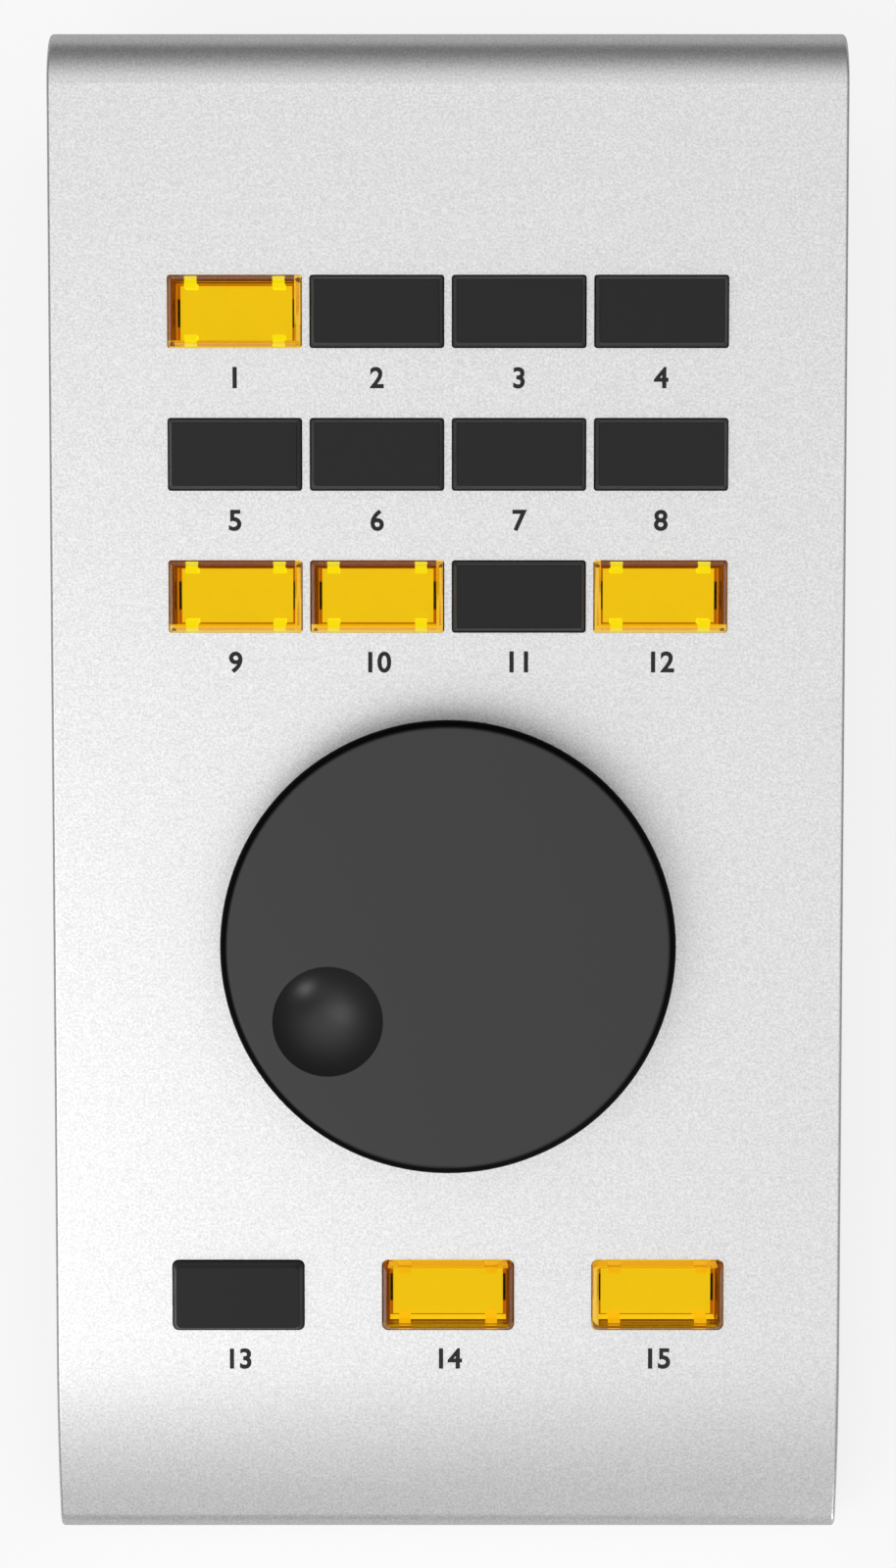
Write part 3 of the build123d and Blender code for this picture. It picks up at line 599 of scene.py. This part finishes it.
def add_piece(name, mesh_builder, material, body):
    """Make a new piece from a bmesh, with its place in its mesh, and let it ride on a body."""
    bmesh.ops.recalc_face_normals(mesh_builder, faces=mesh_builder.faces)
    mesh = bpy.data.meshes.new(name)
    mesh_builder.to_mesh(mesh)
    mesh_builder.free()
    mesh.materials.append(material)
    piece = bpy.data.objects.new(name, mesh)
    bpy.context.scene.collection.objects.link(piece)
    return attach(piece, body)


def key_middle(number):
    """Middle of a key cap on the panel, in panel coordinates."""
    low, high = node_span(f"key_cap_{number}", TO_PANEL)
    return (low + high) / 2


class RemoteOperator:
    """What the operators share: they can be undone and run in any context."""

    bl_options = {"REGISTER", "UNDO"}


class REMOTE_OT_dress_shell(RemoteOperator, bpy.types.Operator):
    """Finish the bent aluminium top"""

    bl_idname = "remote.dress_shell"
    bl_label = "Aluminium top"

    def execute(self, context):
        dress("top_shell", blasted_aluminium(context.scene.remote_finish))
        return {"FINISHED"}


class REMOTE_OT_dress_enclosure(RemoteOperator, bpy.types.Operator):
    """Finish the cheeks, base, feet and outside screws"""

    bl_idname = "remote.dress_enclosure"
    bl_label = "Cheeks, base and feet"

    def execute(self, context):
        settings = context.scene.remote_finish
        plastic = moulded_plastic("cheek_plastic", settings.plastic_color, grain=0.4 * MM, depth=0.03 * MM)
        for node in ("left_cheek", "right_cheek"):
            dress(node, plastic)
        dress("base_plate", powder_coat("base_powder_coat", (0.022, 0.022, 0.023)))
        dress("rubber_feet", foot_rubber("foot_rubber", (0.014, 0.014, 0.014)))
        steel = oxide_steel("screw_oxide", (0.055, 0.055, 0.058))
        for node in ("cheek_screws", "base_screws", "board_screws", "io_screws"):
            dress(node, steel)
        return {"FINISHED"}


class REMOTE_OT_dress_keys(RemoteOperator, bpy.types.Operator):
    """Finish the lit and unlit key caps and their light carriers"""

    bl_idname = "remote.dress_keys"
    bl_label = "Keys"

    def execute(self, context):
        settings = context.scene.remote_finish
        clear, smoked, dull = lit_cap(settings), unlit_cap(settings), unlit_carrier()
        for number in KEYS:
            lit = number in LIT_KEYS
            dress(f"key_cap_{number}", clear if lit else smoked)
            dress(f"key_carrier_{number}", lit_carrier(settings, number) if lit else dull)
        return {"FINISHED"}


class REMOTE_OT_dress_wheel(RemoteOperator, bpy.types.Operator):
    """Finish the jog wheel and the encoder under it"""

    bl_idname = "remote.dress_wheel"
    bl_label = "Jog wheel"

    def execute(self, context):
        dress("wheel", wheel_plastic(context.scene.remote_finish))
        dress("wheel_clip", turned_metal("spring_steel", (0.55, 0.55, 0.56), 0.3))
        steel = turned_metal("shaft_steel", (0.60, 0.60, 0.61), 0.28)
        nickel = turned_metal("nickel", (0.70, 0.68, 0.64), 0.2)
        for node, material in (("encoder_shaft", steel), ("encoder_bushing", steel),
                               ("encoder_nut", nickel), ("encoder_washer", nickel)):
            dress(node, material)
        dress("encoder_body", moulded_plastic("encoder_case", (0.02, 0.02, 0.02)))
        return {"FINISHED"}


class REMOTE_OT_dress_inside(RemoteOperator, bpy.types.Operator):
    """Finish the boards and what they carry"""

    bl_idname = "remote.dress_inside"
    bl_label = "Boards"

    def execute(self, context):
        board = solder_mask(context.scene.remote_finish)
        brass = turned_metal("pillar_brass", (0.75, 0.56, 0.24), 0.28)
        black = moulded_plastic("switch_plastic", (0.02, 0.02, 0.02))
        for node, material in (("main_board", board), ("io_board", board),
                               ("standoffs", brass), ("io_standoffs", brass),
                               ("key_switches", black), ("board_connectors", black)):
            dress(node, material)
        dress("leds", lamp_resin("lamp_resin", (0.85, 0.70, 0.25)))
        dress("microcontroller", moulded_plastic("chip_resin", (0.025, 0.025, 0.027), grain=0.15 * MM))
        dress("ribbon_cable", ribbon_vinyl("ribbon_vinyl", (0.42, 0.42, 0.43)))
        return {"FINISHED"}


class REMOTE_OT_dress_sockets(RemoteOperator, bpy.types.Operator):
    """Finish the data socket and the footswitch jack"""

    bl_idname = "remote.dress_sockets"
    bl_label = "Sockets"

    def execute(self, context):
        dress("usb_socket", plated_metal("socket_can", (0.62, 0.62, 0.63), 0.28))
        dress("usb_tongue", moulded_plastic("tongue_plastic", (0.72, 0.72, 0.70)))
        dress("footswitch_jack", moulded_plastic("jack_plastic", (0.018, 0.018, 0.018)))
        nut_low, nut_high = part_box("jack_nut")
        nickel = turned_metal("nut_nickel", (0.70, 0.68, 0.64), 0.2,
                              centre=(nut_low + nut_high) / 2, turn=(math.pi / 2, 0, 0))
        dress("jack_nut", nickel)
        settings = context.scene.remote_sockets
        self.contacts(settings)
        self.jack_collar(settings, (nut_low + nut_high) / 2, nickel)
        return {"FINISHED"}

    def contacts(self, settings):
        """Four gilt contacts, two above and two below the tongue."""
        low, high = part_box("usb_tongue")
        gilt = plated_metal("contact_gilt", (0.83, 0.62, 0.22), 0.25)
        size = (settings.contact_width, settings.contact_length, 2 * settings.contact_rise)
        corners = ((-1, low.z), (1, low.z), (-1, high.z), (1, high.z))
        for number, (side, face) in enumerate(corners, start=1):
            builder = bmesh.new()
            bmesh.ops.create_cube(builder, size=1)
            bmesh.ops.scale(builder, vec=size, verts=builder.verts)
            bmesh.ops.bevel(builder, geom=builder.edges[:], offset=settings.contact_rise / 2, segments=2,
                            profile=0.5, affect="EDGES", material=-1)
            place = ((low.x + high.x) / 2 + side * settings.contact_spread,
                     high.y - settings.contact_setback, face)
            bmesh.ops.translate(builder, vec=place, verts=builder.verts)
            add_piece(f"usb_contact_{number}", builder, gilt, "enclosure")

    def jack_collar(self, settings, middle, material):
        """Rounded metal collar around the mouth of the jack."""
        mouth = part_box("footswitch_jack")[1].y
        inner, outer = settings.collar_inner_radius, settings.collar_outer_radius
        rise = settings.collar_rise
        builder = bmesh.new()
        profile = [builder.verts.new((middle.x + radius, mouth + height, middle.z)) for radius, height in (
            (inner, -rise), (inner, rise * 0.6), (inner + rise * 0.6, rise), (outer - rise, rise),
            (outer, rise * 0.4), (outer, -rise))]
        edges = [builder.edges.new(pair) for pair in zip(profile, profile[1:])]
        bmesh.ops.spin(builder, geom=profile + edges, cent=(middle.x, mouth, middle.z), axis=(0, 1, 0),
                       angle=2 * math.pi, steps=64, use_merge=True)
        for face in builder.faces:
            face.smooth = True
        add_piece("jack_collar", builder, material, "enclosure")


class REMOTE_OT_print_numbers(RemoteOperator, bpy.types.Operator):
    """Print a plain number in front of each key"""

    bl_idname = "remote.print_numbers"
    bl_label = "Key numbers"

    def execute(self, context):
        settings = context.scene.remote_print
        ink = printing_ink(settings)
        for number in KEYS:
            curve = bpy.data.curves.new(f"number_{number}", "FONT")
            curve.body = str(number)
            curve.align_x = "CENTER"
            source = bpy.data.objects.new(f"number_source_{number}", curve)
            context.scene.collection.objects.link(source)
            context.view_layer.update()
            digit = source.dimensions.y
            curve.bevel_depth = settings.stroke_gain * digit / settings.digit_height
            curve.bevel_resolution = 0
            context.view_layer.update()
            builder = bmesh.new()
            outline = bpy.data.meshes.new_from_object(source)
            builder.from_mesh(outline)
            bpy.data.objects.remove(source)
            bpy.data.meshes.remove(outline)
            scale = settings.digit_height / digit
            middle = key_middle(number)
            foot = middle.y - settings.drop - settings.digit_height / 2
            place = PANEL @ Matrix.Translation((middle.x, foot, settings.film)) @ Matrix.Scale(scale, 4)
            bmesh.ops.transform(builder, matrix=place, verts=builder.verts)
            add_piece(f"key_number_{number}", builder, ink, "enclosure")
        return {"FINISHED"}


class REMOTE_OT_set_stage(RemoteOperator, bpy.types.Operator):
    """Set the floor, the studio light and the camera"""

    bl_idname = "remote.set_stage"
    bl_label = "Studio"

    def execute(self, context):
        settings = context.scene.remote_stage
        self.floor(context, settings)
        self.world(context, settings)
        self.lamp(context, "softbox", settings.softbox_level, settings.softbox_width,
                  PANEL @ (settings.lamp_distance * SOFTBOX_DIRECTION.normalized()))
        front = self.lamp(context, "front_lamp", settings.front_lamp_level, settings.front_lamp_width,
                          PANEL @ (settings.lamp_distance * FRONT_LAMP_DIRECTION.normalized()))
        # The front lamp gives highlights only, so that it leaves no pool of light on the floor.
        front.visible_diffuse = False
        self.camera(context, settings)
        context.scene.view_settings.view_transform = "Standard"
        return {"FINISHED"}

    def floor(self, context, settings):
        """Pale floor that shows white and keeps the part's shadow."""
        finish = Finish("studio_floor", settings.floor_color, 0.9, specular_ior_level=0.0)
        paths = finish.tree.nodes.new("ShaderNodeLightPath")
        camera, glossy, through = [Socket(finish.tree, paths.outputs[name]) for name in (
            "Is Camera Ray", "Is Glossy Ray", "Is Transmission Ray")]
        mirrored = glossy.math("MAXIMUM", through)
        shown = camera * settings.floor_glow + mirrored * settings.floor_mirror_glow
        glow = finish.tree.nodes.new("ShaderNodeEmission")
        glow.inputs["Strength"].default_value = settings.floor_white
        blend = finish.tree.nodes.new("ShaderNodeMixShader")
        surface = finish.tree.nodes["Material Output"].inputs["Surface"]
        for output, socket in ((shown.output, blend.inputs["Fac"]),
                               (finish.shader.outputs["BSDF"], blend.inputs[1]),
                               (glow.outputs["Emission"], blend.inputs[2]),
                               (blend.outputs["Shader"], surface)):
            finish.tree.links.new(output, socket)
        builder = bmesh.new()
        bmesh.ops.create_grid(builder, x_segments=1, y_segments=1, size=settings.floor_width / 2)
        bmesh.ops.translate(builder, vec=(0, 0, -settings.floor_gap), verts=builder.verts)
        mesh = bpy.data.meshes.new("floor")
        builder.to_mesh(mesh)
        builder.free()
        mesh.materials.append(finish.material)
        floor = bpy.data.objects.new("floor", mesh)
        context.scene.collection.objects.link(floor)

    def world(self, context, settings):
        """Studio that is bright overhead, dark at its walls and dimmer on one side."""
        world = bpy.data.worlds.new("studio")
        world.use_nodes = True
        tree = world.node_tree
        direction = Socket(tree, tree.nodes.new("ShaderNodeTexCoord").outputs["Generated"])
        x, y, z = direction.axes()
        height = math.cos(settings.ceiling_lean) * z - math.sin(settings.ceiling_lean) * y
        height = height.math("MAXIMUM", 0.0)
        level = settings.wall_level + (settings.sky_level - settings.wall_level) * (height * height)
        shaded = PANEL.to_3x3() @ SHADED_SIDE.normalized()
        facing = shaded.x * x + shaded.y * y + shaded.z * z
        level = level * facing.step(math.cos(settings.shade_reach), math.cos(settings.shade_core),
                                    1.0, 1.0 - settings.shade_depth)
        background = tree.nodes["Background"]
        background.inputs["Color"].default_value = (1, 1, 1, 1)
        tree.links.new(level.output, background.inputs["Strength"])
        context.scene.world = world

    def lamp(self, context, name, level, width, place):
        """Square area lamp of the given radiance, aimed at the wheel."""
        data = bpy.data.lights.new(name, "AREA")
        data.shape = "SQUARE"
        data.size = width
        data.energy = level * math.pi * width * width
        lamp = bpy.data.objects.new(name, data)
        lamp.location = place
        lamp.rotation_euler = (WHEEL_POINT - place).to_track_quat("-Z", "Y").to_euler()
        lamp.visible_camera = False
        context.scene.collection.objects.link(lamp)
        return lamp

    def camera(self, context, settings):
        """Camera over the panel, a little to the rear of its normal."""
        aim = WHEEL_POINT + settings.aim_above_wheel * PANEL_UP
        lean, upright = math.sin(settings.camera_lean), math.cos(settings.camera_lean)
        back = lean * PANEL_UP + upright * PANEL_NORMAL
        up = upright * PANEL_UP - lean * PANEL_NORMAL
        data = bpy.data.cameras.new("camera")
        data.lens = settings.lens
        camera = bpy.data.objects.new("camera", data)
        turn = Matrix((PANEL_ACROSS, up, back)).transposed().to_4x4()
        camera.matrix_world = Matrix.Translation(aim + settings.camera_distance * back) @ turn
        context.scene.collection.objects.link(camera)
        context.scene.camera = camera


OPERATORS = (REMOTE_OT_dress_shell, REMOTE_OT_dress_enclosure, REMOTE_OT_dress_keys, REMOTE_OT_dress_wheel,
             REMOTE_OT_dress_inside, REMOTE_OT_dress_sockets, REMOTE_OT_print_numbers, REMOTE_OT_set_stage)


class REMOTE_PT_tools(bpy.types.Panel):
    """Lists the operators in the order in which they run"""

    bl_label = "Audio remote"
    bl_space_type = "VIEW_3D"
    bl_region_type = "UI"
    bl_category = "Remote"

    def draw(self, context):
        for operator in OPERATORS:
            self.layout.operator(operator.bl_idname)
        for name in SETTINGS:
            settings = getattr(context.scene, name)
            for key in settings.__annotations__:
                self.layout.prop(settings, key)


SETTINGS = {"remote_finish": FinishSettings, "remote_print": PrintSettings,
            "remote_sockets": SocketSettings, "remote_stage": StageSettings}
CLASSES = (*SETTINGS.values(), *OPERATORS, REMOTE_PT_tools)


def register():
    """Register the classes and hang the settings on the scene."""
    for cls in CLASSES:
        bpy.utils.register_class(cls)
    for name, group in SETTINGS.items():
        setattr(bpy.types.Scene, name, bpy.props.PointerProperty(type=group))


def unregister():
    """Undo register."""
    for name in SETTINGS:
        delattr(bpy.types.Scene, name)
    for cls in reversed(CLASSES):
        bpy.utils.unregister_class(cls)


def main():
    """Dress the frame and set the stage."""
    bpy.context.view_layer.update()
    register()
    for operator in OPERATORS:
        group, name = operator.bl_idname.split(".")
        getattr(getattr(bpy.ops, group), name)()


if __name__ == "__main__":
    main()
